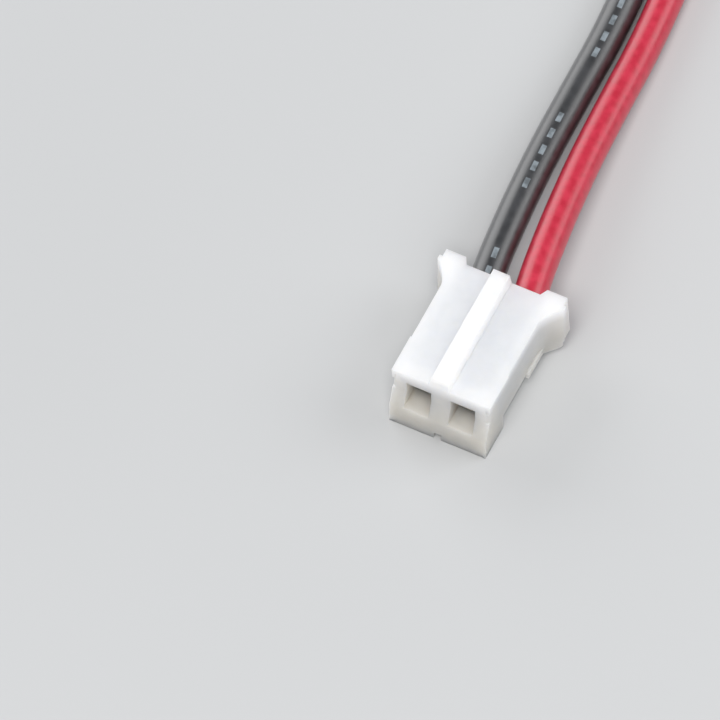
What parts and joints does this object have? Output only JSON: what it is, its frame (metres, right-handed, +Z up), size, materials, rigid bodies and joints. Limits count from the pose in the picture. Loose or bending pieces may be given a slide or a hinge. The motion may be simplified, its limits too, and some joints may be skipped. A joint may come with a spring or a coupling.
{
  "type": "lipo battery pack",
  "caption": "Flat single-cell lithium polymer pack with a taped protection board, a black and a red lead, and a white two-way plug.",
  "frame": {"origin": "bottom centre of the pack without its leads and plug, on the surface it lies on", "axes": "+Z up, +Y along the pack from its tab end to its closed end, +X to the right when looking along +Y"},
  "size_m": [0.025, 0.0933, 0.007],
  "materials": {
    "laminate": "satin aluminium laminate with a clear nylon skin",
    "electrode": "coated foil stack, dark and dull",
    "adhesive": "double-sided adhesive strip",
    "aluminium_tab": "rolled strip",
    "nickel": "rolled nickel strip",
    "tab_seal": "polypropylene sealing film",
    "paper": "fish paper",
    "board": "green solder mask on glass epoxy",
    "chip": "black moulding compound",
    "ceramic": "tan ceramic",
    "polyimide": "amber polyimide tape, glossy and see-through",
    "nylon": "natural white nylon, slightly translucent",
    "solder": "bright solder",
    "tinned_copper": "tinned strands",
    "black_insulation": "smooth black PVC, soft sheen",
    "red_insulation": "smooth crimson PVC, soft sheen",
    "contact": "tin-plated phosphor bronze"
  },
  "bodies": {
    "root": {"pouch_cup": "laminate", "pouch_cover": "laminate", "electrode_stack": "electrode", "flange_adhesive_left": "adhesive", "flange_adhesive_right": "adhesive", "positive_tab": "aluminium_tab", "negative_tab": "nickel", "positive_tab_seal": "tab_seal", "negative_tab_seal": "tab_seal", "positive_weld_plate": "nickel", "negative_weld_plate": "nickel", "insulating_paper": "paper", "protection_board": "board", "protection_ic": "chip", "power_switch": "chip", "sense_resistor": "chip", "filter_capacitor": "ceramic", "board_tape": "polyimide", "plug_housing": "nylon", "solder_black": "solder", "solder_red": "solder", "black_strands_board": "tinned_copper", "red_strands_board": "tinned_copper", "black_lead": "black_insulation", "red_lead": "red_insulation", "black_strands_plug": "tinned_copper", "red_strands_plug": "tinned_copper", "black_contact": "contact", "red_contact": "contact"}
  },
  "joints": []
}
